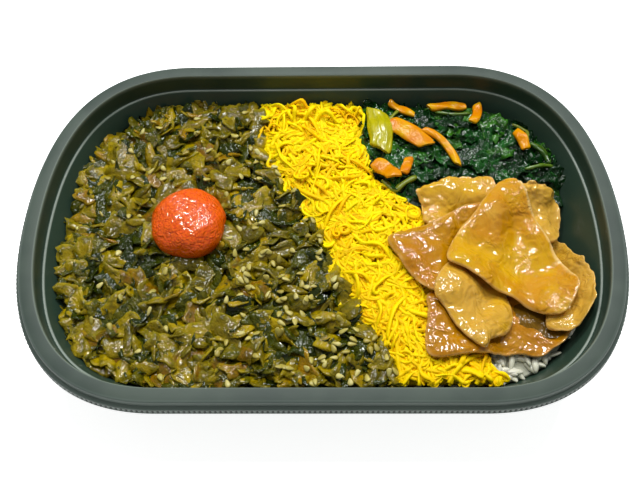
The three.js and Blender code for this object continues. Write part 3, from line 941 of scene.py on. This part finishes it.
def makeEgg():
    rng = np.random.default_rng(53)
    lumpy = waves(12, 7)
    middleOf = lambda y: (seam(greensToEgg, y) + seam(eggToRight, y)) / 2
    spreadOf = lambda y: (seam(eggToRight, y) - seam(greensToEgg, y)) / 2
    crown = lambda x, y: np.clip(1 - (np.abs(x - middleOf(y)) / np.maximum(spreadOf(y) - 1, 1)) ** 2, 0, 1)
    swell = lambda x, y: egg["coreTop"] - riceTop + 0.6 * ground.at(x, y, lumpy)
    coreTop = lambda x, y: riceTop + 0.2 + swell(x, y) * crown(x, y) ** 0.5
    core = heapCore("egg_core", lambda y: seam(greensToEgg, y) + 1.2, lambda y: seam(eggToRight, y) - 1.2,
                    -reachY, coreTop, (40, 90), inEgg, tone=0.15)
    shape, unit = bar(egg["steps"])
    quads = quadsOf(shape)
    # the band's edges are ragged: the strands spill over them here and there
    spill = lambda along: 1.8 + 2.0 * np.sin(0.55 * along) * np.sin(0.21 * along + 1)
    stay = lambda x, y: ((x > seam(greensToEgg, y) - 1 - spill(y))
                         & (x < seam(eggToRight, y) + 0.6 + spill(y + 9))
                         & (fromWall(x, y, 22) > 2.8 - spill(1.7 * x)))
    matTop = lambda x, y: egg["top"] - 2.4 * (1 - crown(x, y) ** 0.6) + 0.9 * ground.at(x, y, lumpy)
    starts = spots(egg["strands"] * 5, lambda x, y: inEgg(x, y, 22), rng, box=((-30, -58), (62, 58)))
    strands = []
    for number in range(egg["strands"]):
        x, y = lowestOf(starts, number, 5, lambda x, y: 1.6 * crown(x, y))
        late = number / egg["strands"]
        length = rng.uniform(*egg["length"]) * (1 - 0.25 * late)
        wide, thick = rng.uniform(*egg["wide"]), rng.uniform(*egg["thick"])
        heading = rng.uniform(0, fullTurn) if rng.random() < 0.6 else rng.normal(-1.1, 0.5)
        curl = rng.uniform(0.06, 0.2) if rng.random() < 0.55 else rng.uniform(0.25, 0.5)
        lift = rng.uniform(0.4, 2.0) if rng.random() < 0.12 * late + 0.03 else 0.0
        if late > 0.85 and y > 46:
            # loops that stand up at the back
            length, curl, lift = rng.uniform(9, 16), 0.3, rng.uniform(1.5, 4)
        line = strandLine(rng, (x, y), heading, length, curl, stay, matTop, lift)
        line[:, 2] += thick * 0.42 + rng.uniform(-0.4, 0.5)
        placed = stripAlong(line, unit, wide, thick, rng.normal(0, (0.35, 0.7)))
        even, share = np.linspace(0, 1, 60), np.linspace(0, 1, len(line))
        fineX, fineY, fineZ = (np.interp(even, share, line[:, axis]) for axis in range(3))
        for shift in (-0.35, 0, 0.35):
            ground.cover(fineX + shift, fineY + shift, fineZ + thick * 0.35 - 0.25 * abs(shift))
        deeper = 0.5 + 0.5 * np.clip((y + 50) / 60, 0, 1)     # the front strands are a deeper yellow
        strands.append((placed, quads, {"tone": rng.uniform(0, 1) * deeper}))
    paint = Paint("shredded omelette",
                  {**soft(0.2, (1, 0.8, 0.12), 2), "IOR": 1.4, "Specular IOR Level": 0.15})
    cloud, fine = paint.noise(150, detail=3), paint.noise(1500, detail=3)
    hue = paint.tonedRamp((0.0, 246, 188, 0), (0.35, 255, 216, 0), (1.0, 255, 234, 0))
    body = paint.mix(paint.ease(cloud, 0.5, 0.75) * 0.3, hue, (255, 208, 0))
    paint.finish(body, 0.42 + fine * 0.25, paint.bump(fine, 0.35, 0.2))
    finishPiece("egg_core", core, paint, ["egg_shreds"])
    finishCopies("egg_strands", strands, paint)


# Spinach: wet crumpled leaves and a few stems, heaped against the back of the tray

spinach = {
    "coreTop": 23.6,
    "front": 13.0,
    "leaves": 240,
    "leaf": ((7, 14), (5, 11)),     # lengths and widths
    "stems": 8,
    "stem": ((8, 22), (0.9, 1.8)),
}


# Where the spinach ends towards the front: the heap draws back beside the wall
def spinachFront(x):
    return spinach["front"] + 0.5 * np.maximum(0, x - 70)


def inSpinach(x, y, z):
    return (x > seam(eggToRight, y) + 1) & (y > spinachFront(x)) & inTray(x, y, z)


def spinachLeaf(u, v, side, rng, length, wide):
    a, b, c, d = rng.uniform(0, fullTurn, 4)
    x = length * u * (1 - 0.35 * np.abs(v) + 0.12 * np.sin(7 * v + a))
    y = wide * v * (1 - 0.35 * np.abs(u) + 0.12 * np.sin(7 * u + b))
    z = 1.0 * np.abs(np.sin(5 * u + 2.5 * v + c)) + 0.9 * np.abs(np.sin(7 * v - 3 * u + d))
    z += 0.35 * np.sin(17 * v + 5 * u + a) + 0.3 * np.sin(15 * u - 9 * v + b)
    z += rng.uniform(-1.5, 1.5) * (2 * v) ** 2 + (side - 0.5) * 0.4
    return np.column_stack([x, y, z])


def makeSpinach():
    rng = np.random.default_rng(61)
    lumpy, rise = waves(7, 9), waves(10, 13)

    def topOf(x, y):
        fromEdge = np.minimum(np.minimum(x - seam(eggToRight, y), y - spinachFront(x)), fromWall(x, y, 20))
        full = np.clip(fromEdge / 9, 0, 1) ** 0.6
        return riceTop + (spinach["coreTop"] - riceTop) * full + 1.1 * ground.at(x, y, lumpy) * full

    core = heapCore("spinach_core", lambda y: seam(eggToRight, y) + 1.5, reachX, spinach["front"], topOf,
                    (90, 60), inSpinach, tone=0.3)
    leafSheet, *leafPlan = sheet(12, 10)
    quads = quadsOf(leafSheet)
    places = spots(spinach["leaves"] * 5, lambda x, y: inSpinach(x, y, 22), rng, box=((12, 12), (92, 60)))
    riseAt = lambda x, y: 2.0 * np.clip(fromWall(x, y, 22) / 12, 0, 1) + 1.5 * ground.at(x, y, rise)
    leaves, stems = [], []
    for number in range(spinach["leaves"]):
        x, y = lowestOf(places, number, 5, riseAt)
        points = spinachLeaf(*leafPlan, rng, *(rng.uniform(*span) for span in spinach["leaf"]))
        placed = layDown(points, x, y, rng.uniform(0, fullTurn), rng.normal(0, 0.25, 2),
                         topOf(x, y) + 2.4, sink=0.35)
        # lower beside the egg
        placed[:, 2] -= 1.2 * np.maximum(0, seam(eggToRight, placed[:, 1]) + 2 - placed[:, 0])
        leaves.append((offTray(placed), quads, {"tone": rng.uniform(0, 1)}))
    shape, unit = bar(egg["steps"], 1)
    quads = quadsOf(shape)
    stay = lambda x, y: inSpinach(x, y, 19)
    lengths, widths = spinach["stem"]
    for x, y in spots(spinach["stems"], stay, rng, box=((14, 16), (90, 58))):
        line = strandLine(rng, (x, y), heading=rng.uniform(0, 6.28), length=rng.uniform(*lengths), curl=0.06,
                          inside=stay, top=lambda x, y: topOf(x, y) + 2.6, lift=0.3)
        line[:, 2] += 0.4
        wide = rng.uniform(*widths)
        placed = stripAlong(line, unit, wide, wide * 0.8, (0, rng.normal(0, 1)))
        stems.append((placed, quads, {"tone": rng.uniform(0, 1)}))

    leaf = Paint("wet spinach", {"IOR": 1.42, "Specular IOR Level": 0.65})
    cloud = leaf.noise(300, detail=4)
    hue = leaf.tonedRamp((0.0, 4, 32, 6), (0.5, 8, 64, 12), (0.8, 20, 88, 18), (1.0, 56, 116, 18))
    body = leaf.mix(leaf.ease(cloud, 0.4, 0.6) * 0.6, hue, (2, 28, 6))
    wet = leaf.bump(leaf.noise(540, detail=1, distortion=2.0), 1.0, 0.55,
                    leaf.bump(leaf.cellEdges(360), 1.0, 0.4))
    leaf.finish(body, 0.06 + cloud * 0.1, wet)
    stem = Paint("spinach stem", soft(0.2, (0.6, 1, 0.2), 1))
    streak = stem.noise(700, detail=3)
    hue = stem.tonedRamp((0.0, 40, 80, 16), (0.6, 92, 120, 22), (1.0, 146, 150, 34))
    stem.finish(stem.mix(streak * 0.6, hue, (50, 84, 14)), 0.2 + streak * 0.2, stem.bump(streak, 0.5, 0.25))
    finishPiece("spinach_core", core, leaf, ["spinach_mix"])
    finishCopies("spinach_leaves", leaves, leaf)
    finishCopies("spinach_stems", stems, stem)


# Carrot strips and a pale stalk, laid among the spinach

strips = {
    # places along each strip, its width and its thickness
    "pale_stalk": ([(21, 52.5), (22.6, 42), (22, 33.5)], 9.5, 2.2),
    "carrot_strip_1": ([(26.5, 57.5), (30.5, 54.5), (36, 50.5)], 3.2, 1.4),
    "carrot_strip_2": ([(42, 54.3), (50, 55.8), (56.5, 55)], 3.8, 1.6),
    "carrot_strip_3": ([(60.8, 56), (60, 50), (57.4, 45.5)], 3.8, 1.4),
    "carrot_strip_4": ([(25.8, 46.6), (33, 41.5), (40, 35)], 7.8, 1.5),
    "carrot_strip_5": ([(38.5, 42), (46.6, 35.6), (50.4, 26)], 3.2, 1.4),
    "carrot_strip_6": ([(19.4, 27.6), (23.5, 24.5), (26.8, 19.6)], 6.4, 1.6),
    "carrot_strip_7": ([(32.6, 29.4), (31.6, 25.5), (30.0, 21.6)], 3.8, 1.5),
    "carrot_strip_8": ([(73.4, 41), (75.3, 37), (76.4, 32.6)], 4.4, 1.6),
}


def carrotPaint():
    paint = Paint("cooked carrot", {"Specular IOR Level": 0.18})
    cloud, fine = paint.noise(160, detail=3), paint.noise(900, detail=3)
    hue = paint.ramp(cloud, (0.35, 204, 118, 0), (0.52, 214, 146, 0), (0.65, 212, 168, 0))
    skin = paint.bump(fine, 1.0, 0.15, paint.bump(cloud, 1.0, 0.8))
    paint.finish(paint.mix(fine * 0.4, hue, (198, 110, 0)), 0.12 + fine * 0.15, skin)
    return paint


def stalkPaint():
    paint = Paint("pale stalk", soft(0.35, (0.9, 1, 0.3), 2))
    across, = paint.attributes("across")
    cloud = paint.noise(220, detail=4)
    ridge = paint.add("ShaderNodeMath", {"operation": "SINE"}, [across * 2.4 + cloud * 7])
    hue = paint.mix(cloud, (160, 154, 2), (192, 182, 14))
    body = paint.mix(paint.ease(ridge, 0, 1) * 0.3, hue, (134, 136, 4))
    paint.finish(body, 0.12 + cloud * 0.2, paint.bump(ridge, 0.6, 0.12))
    return paint


def makeStrips():
    carrot, stalk = carrotPaint(), stalkPaint()
    rng = np.random.default_rng(71)
    field = ground.bridged(1.2, 2)
    for name, (places, wide, thick) in strips.items():
        mesh, unit = bar(steps=26, rounds=3, name=name)
        # a rounded section that closes at both ends
        ends = 1 - 0.2 * np.abs(2 * unit[:, 0]) ** 16
        unit[:, 1:] *= (1 - 0.16 * np.prod(2 * unit[:, 1:], axis=1) ** 2)[:, None] * ends[:, None]
        slant = rng.choice([-1, 1]) * rng.uniform(0.05, 0.14) * wide / 4
        share = unit[:, 0] + 0.5 + slant * unit[:, 1] * np.abs(2 * unit[:, 0]) ** 5
        a, b, c = np.array(places)
        line = lambda t: (((1 - t) ** 2)[:, None] * a + (2 * t * (1 - t))[:, None] * (2 * b - (a + c) / 2)
                          + (t ** 2)[:, None] * c)
        at = line(share)
        ahead = line(share + 0.01) - line(share - 0.01)
        ahead /= np.linalg.norm(ahead, axis=1)[:, None]
        size = 0.86 + 0.14 * np.sin(math.pi * np.clip(share, 0, 1))
        size *= 1 + 0.06 * np.sin(share * 9 + rng.uniform(0, 6))
        across = unit[:, 1] * wide * size
        isStalk = name == "pale_stalk"
        curve = (0.5 if isStalk else 0.12) * (unit[:, 1] * 2) ** 2 * thick
        x, y = at[:, 0] - ahead[:, 1] * across, at[:, 1] + ahead[:, 0] * across
        # the mean height at a few stations along the strip, so that it lies without a kink
        level = ground.at(*at.T, field)
        stations = np.linspace(0, 1, 6)
        level = np.interp(share, stations, [level[np.abs(share - s) < 0.12].mean() for s in stations])
        z = level + 0.1 + (unit[:, 2] + 0.5) * thick * size - curve + 0.2 * np.sin(across * 1.3 + share * 9)
        reshape(mesh, offTray(np.column_stack([x, y, z])))
        note(mesh, across=across)
        ground.cover(x, y, z)
        paint, slot = (stalk, "stalk") if isStalk else (carrot, "carrot")
        finishPiece(name + "_cut", mesh, paint, [name])
        mesh.set_sharp_from_angle(angle=0.7)


# Slices of pork in a sweet sauce: each is a limp thick disc, drawn out to its outline and laid over what is
# under it

pork = {
    "thick": 2.0,
    "around": 168,
    "reach": 3.6,               # how far a slice bridges what it lies on
    "evenness": 3.0,
    # lowest first: the outline, how dark (tone) and how pale (cream) it is, how far its edge settles and how
    # much it frills, and where it has them, a dome's place, width and height and the line of a band of fat
    "slices": [
        {"corners": [(36.5, -26), (35, -34), (33.5, -42), (34, -48), (38, -49.5), (45, -48.5), (52.5, -47.5),
                     (60, -46.5), (65, -46), (71, -47), (75, -45), (80, -41.5), (86, -32), (84, -26),
                     (70, -25), (52, -25)],
         "tone": 1.0, "cream": 0.3, "settle": 0.5, "frill": 0.3},
        {"corners": [(79, 6), (85.5, 0), (88.5, -8), (90, -15), (90.3, -22), (89, -29), (86, -35),
                     (81, -40.3), (74, -38), (76, -28), (80, -20), (76, -4)],
         "tone": 0.3, "cream": 0.7, "settle": 0.3, "frill": 0.7},
        {"corners": [(34, 14.5), (36.5, 16.5), (41, 17.5), (47.5, 19.5), (56, 20), (62, 19), (64, 8),
                     (54, -2), (38, 1), (36, 5), (36, 10)],
         "tone": 0.35, "cream": 0.5, "settle": 0.8, "frill": 0.3, "dome": (50, 12, 8, 1.6)},
        {"corners": [(73, 17.5), (80, 17.5), (86, 16), (87.3, 9), (86.3, 2), (82, -4), (73, 0), (70, 9)],
         "tone": 0.3, "cream": 0.6, "settle": 0.6, "frill": 0.25},
        {"corners": [(23, -5.5), (30, -2), (38, 0.5), (44, 3.5), (52.5, 8), (62, 6), (60, -12), (48, -27),
                     (36.5, -26.5), (30, -19.5), (26, -12.5)],
         "tone": 0.9, "cream": 0.15, "settle": 0.8, "frill": 0.2},
        {"corners": [(42, -17), (37, -27), (40.5, -34), (44, -40.5), (49.5, -46), (52.5, -46.5),
                     (54.5, -43.5), (59.5, -41), (63, -36.5), (63, -29), (60, -20), (50, -14)],
         "tone": 0.4, "cream": 0.7, "settle": 0.5, "frill": 0.2, "dome": (58.5, -34, 6, 2.4)},
        {"corners": [(66, 18), (71.5, 17), (74.5, 9), (77, 1), (80.5, -6.5), (83.5, -14.5), (85, -24),
                     (82.5, -30), (79, -34.5), (75, -35), (70, -32.5), (62.5, -28), (55, -25), (48, -20.5),
                     (42.5, -17.5), (43, -12), (47.5, -4), (54, 4), (59.5, 11.5)],
         "tone": 0.6, "cream": 0.35, "settle": 0.3, "frill": 0.15, "dome": (64, -7, 15, 1.4),
         "fat": [(71.5, 17), (77, 1), (83.5, -14.5), (85, -22)]},
    ],
    "sauce": [(62, -34), (66, -28), (76, -30), (84, -26), (87, -24), (86.5, -30), (83, -36.5), (78.5, -40.5),
              (74.5, -41), (70, -38), (65, -37.5)],
}


# A closed smooth line through the corners, anticlockwise, as evenly spaced points
def smoothLoop(corners, count):
    corners = np.array(corners, dtype=float)
    share = np.linspace(0, 1, 16, endpoint=False)[:, None]
    parts = []
    for index in range(len(corners)):
        before, a, b, after = (corners[(index + k) % len(corners)] for k in (-1, 0, 1, 2))
        parts.append(0.5 * (2 * a + (b - before) * share + (2 * before - 5 * a + 4 * b - after) * share ** 2
                            + (3 * a - before - 3 * b + after) * share ** 3))
    loop = evenPoints(np.concatenate(parts + [parts[0][:1]]), count)
    twiceArea = np.sum(loop[:, 0] * np.roll(loop[:, 1], -1) - loop[:, 1] * np.roll(loop[:, 0], -1))
    return loop if twiceArea > 0 else loop[::-1]


# How far each place is from a line
def toLine(x, y, places):
    near = np.full(x.shape, 1e9)
    for (ax, ay), (bx, by) in zip(places, places[1:]):
        runX, runY = bx - ax, by - ay
        share = np.clip(((x - ax) * runX + (y - ay) * runY) / (runX ** 2 + runY ** 2), 0, 1)
        near = np.minimum(near, np.hypot(x - ax - share * runX, y - ay - share * runY))
    return near


# A disc with a rounded edge: comes with each point's share of the way out, its place from the underside (0)
# to the top (1) and its number round
def limpDisc(name, around):
    rings = [0.06, 0.14, 0.22, 0.3, 0.38, 0.45, 0.52, 0.58, 0.64, 0.69, 0.74, 0.78, 0.82, 0.855, 0.89, 0.915,
             0.94, 0.96]
    section = [(0, 0), *[(ring, 0) for ring in rings], (0.98, 0.08), (0.993, 0.27), (1, 0.5), (0.993, 0.73),
               (0.98, 0.92), *[(ring, 1) for ring in rings[::-1]], (0, 1)]
    return spun(section, around, name)


def makeSlice(name, number, plan, paint):
    rng = np.random.default_rng(80 + number)
    around = pork["around"]
    mesh, share, side, station = limpDisc(name, around)
    loop = smoothLoop(plan["corners"], around)
    turn = np.linspace(0, fullTurn, around, endpoint=False)
    ripple = lambda low, high, counts: sum(rng.uniform(low, high) * np.sin(k * turn + rng.uniform(0, 6))
                                           for k in counts)
    middle = loop.mean(axis=0)
    reachOut = np.hypot(*(loop - middle).T)
    wobble = ripple(0.1, 0.3, (7, 11, 16, 23, 31))
    loop = middle + (loop - middle) * (1 + plan["frill"] * 0.8 * wobble / reachOut)[:, None]
    x, y = (middle + (loop[station] - middle) * share[:, None]).T
    toEdge = (1 - share) * reachOut[station]
    # it bridges what it lies on, droops at its edge here and there, and its edge curls up a little
    over, bridged = ground.at(x, y), ground.at(x, y, ground.bridged(pork["reach"], pork["evenness"]))
    wave = ripple(0.5, 1, (2, 3, 5))[station]
    droop = plan["settle"] * np.exp(-toEdge / 3.5) * np.clip(0.6 + 0.4 * wave, 0, 1)
    level = np.maximum(over, bridged * (1 - droop) + over * droop)
    ripples = 0.06 * ground.at(x, y, waves(3.5, 190 + number))
    level += 0.4 * (1 + ground.at(x, y, waves(8, 90 + number))) + ripples
    curl = ripple(0.4, 1, (4, 9, 14))[station]
    level += plan["frill"] * np.exp(-toEdge / 1.6) * np.clip(curl, 0, 2)
    thick = pork["thick"] * np.clip(0.55 + toEdge / 6, 0.55, 1)
    if "dome" in plan:
        domeX, domeY, wide, high = plan["dome"]
        thick += high * np.exp(-((x - domeX) ** 2 + (y - domeY) ** 2) / wide ** 2 * 1.4)
    fat = 0
    if "fat" in plan:
        off = toLine(x, y, plan["fat"])
        fat = np.clip(1.15 - off / 2.6, 0, 1)
        thick += 0.45 * np.clip(1 - off / 2.4, 0, 1) - 0.5 * np.exp(-((off - 3.0) / 0.5) ** 2) * (toEdge > 1)
    z = level + 0.05 + side * thick
    reshape(mesh, offTray(np.column_stack([x, y, z])))
    note(mesh, edge=toEdge, fat=fat, tone=plan["tone"], cream=plan["cream"])
    ground.cover(x, y, z)
    finishPiece(name, mesh, paint, [f"pork_slice_{number + 1}"])


# The pool of dark sauce that lies on the lowest slice
def makeSauce():
    paint = Paint("sweet soy sauce", {"IOR": 1.42, "Specular IOR Level": 0.3})
    cloud, film = paint.noise(240, detail=3), paint.noise(300, detail=1, distortion=1.5)
    paint.finish(paint.mix(cloud, (88, 60, 4), (130, 96, 22)), 0.1 + cloud * 0.1, paint.bump(film, 1.0, 0.6))
    around = 120
    loop = smoothLoop(pork["sauce"], around)
    mesh, share, side, station = limpDisc("sauce_pool", around)
    middle = loop.mean(axis=0)
    x, y = (middle + (loop[station] - middle) * share[:, None]).T
    level = ground.at(x, y, boxMean(ground.z, 5)) - 0.25
    z = np.maximum(ground.at(x, y) - 0.35, level) + side * (0.55 * (1 - share ** 4) + 0.02)
    reshape(mesh, x, y, z)
    ground.cover(x, y, z)
    finishPiece("sauce_pool", mesh, paint)


def makePork():
    paint = Paint("glazed pork",
                  {**soft(0.35, (0.8, 0.7, 0.3), 1.5), "IOR": 1.47, "Specular IOR Level": 0.65})
    edge, tone, cream, fat = paint.attributes("edge", "tone", "cream", "fat")
    broad, cloud = paint.noise(55), paint.noise(170, detail=3, roughness=0.6)
    amber = paint.mix(paint.ease(broad, 0.38, 0.62), (206, 158, 10), (194, 130, 0))
    pale = paint.mix(cloud, (212, 170, 74), (202, 154, 40))
    creamy = paint.ease(broad + cloud * 0.4 - tone * 0.5 + cream * 0.5, 0.55, 0.95)
    body = paint.mix(creamy, amber, pale)
    body = paint.mix(paint.ease(tone, 0.6, 1.0) * 0.8, body, (174, 112, 0))
    body = paint.mix(paint.ease(edge + cloud * 1.5, 1.9, 0.4) * 0.75, body, (222, 180, 108))
    body = paint.mix(paint.ease(fat + cloud * 0.9, 1.0, 1.4) * 0.85, body, (226, 190, 118))
    fibre = paint.noise(700, detail=4, roughness=0.65, distortion=0.6)
    body = paint.mix(paint.ease(fibre, 0.5, 0.75) * 0.2, body, (228, 186, 100))
    film = paint.noise(150, detail=1, distortion=1.2)
    patch = paint.ease(paint.noise(95, detail=1), 0.42, 0.58)
    ripples = paint.noise(250, detail=1, distortion=2.0) * patch
    wet = paint.bump(fibre, 1.0, 0.02, paint.bump(ripples, 1.0, 0.6, paint.bump(film, 1.0, 1.2)))
    paint.finish(body, 0.06 + cloud * 0.08, wet)
    for number, plan in enumerate(pork["slices"]):
        if number == 1:
            makeSauce()
        makeSlice(f"glazed_slice_{number + 1}", number, plan, paint)


print("studio")
makeCamera()
makeStudio()
print("tray")
makeTray()
ground = Ground()
print("rice")
makeRice()
print("greens")
makeGreens()
makeRoe()
makeSesame()
print("omelette")
makeEgg()
print("spinach")
makeSpinach()
makeStrips()
print("pork")
makePork()
